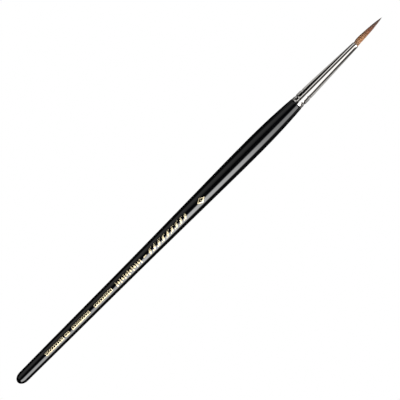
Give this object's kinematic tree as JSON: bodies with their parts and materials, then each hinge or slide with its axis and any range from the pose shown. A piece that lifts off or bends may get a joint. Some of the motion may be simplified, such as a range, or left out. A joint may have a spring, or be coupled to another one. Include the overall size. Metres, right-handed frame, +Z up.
{
  "type": "fine detail brush",
  "caption": "Pointed round hair brush with a crimped, tapered metal ferrule and a slim black lacquered handle that swells to a belly",
  "frame": {"origin": "under the handle's belly line, at the middle of the brush's length, on the surface that the belly touches", "axes": "+X along the brush from the rounded butt to the hair point, +Z up through the middle of the foil marks' side, +Y to the side"},
  "size_m": [0.18, 0.0064, 0.0065],
  "materials": {
    "black_lacquer": "high gloss black lacquer",
    "raw_wood": "plain turned wood",
    "bright_nickel": "bright nickel plate on drawn brass",
    "gold_foil": "hot-stamped pale gold foil",
    "sable_hair": "reddish-brown sable hair, darker to the point",
    "tying_thread": "waxed tying thread",
    "root_resin": "amber setting resin",
    "tenon_glue": "hard cream glue"
  },
  "bodies": {
    "handle": {"handle_core": "raw_wood", "lacquer_coat": "black_lacquer", "ferrule": "bright_nickel", "tenon_glue": "tenon_glue", "root_resin": "root_resin", "root_thread": "tying_thread", "hair_root": "sable_hair", "size_mark": "gold_foil", "scroll_band": "gold_foil", "bar_band": "gold_foil", "short_rule": "gold_foil", "fine_band_upper": "gold_foil", "fine_band_middle": "gold_foil", "fine_band_short": "gold_foil", "fine_band_lower": "gold_foil"},
    "heel": {"hair_heel": "sable_hair"},
    "belly": {"hair_belly": "sable_hair"},
    "shoulder": {"hair_shoulder": "sable_hair"},
    "point": {"hair_point": "sable_hair"}
  },
  "joints": [
    {"name": "tuft_sway", "type": "hinge", "parent": "handle", "child": "heel", "pos_m": [0.0782, 0, 0.00325], "axis": [0, 0, 1], "range_deg": [-25, 25], "stiffness_Nm_per_rad": 0.0012},
    {"name": "belly_bend", "type": "hinge", "parent": "heel", "child": "belly", "pos_m": [0.0806, 0, 0.00325], "axis": [0, 1, 0], "range_deg": [-30, 30], "stiffness_Nm_per_rad": 0.001},
    {"name": "shoulder_bend", "type": "hinge", "parent": "belly", "child": "shoulder", "pos_m": [0.0834, 0, 0.00325], "axis": [0, 1, 0], "range_deg": [-30, 30], "stiffness_Nm_per_rad": 0.0005},
    {"name": "point_bend", "type": "hinge", "parent": "shoulder", "child": "point", "pos_m": [0.0861, 0, 0.00325], "axis": [0, 1, 0], "range_deg": [-30, 30], "stiffness_Nm_per_rad": 0.0002}
  ]
}
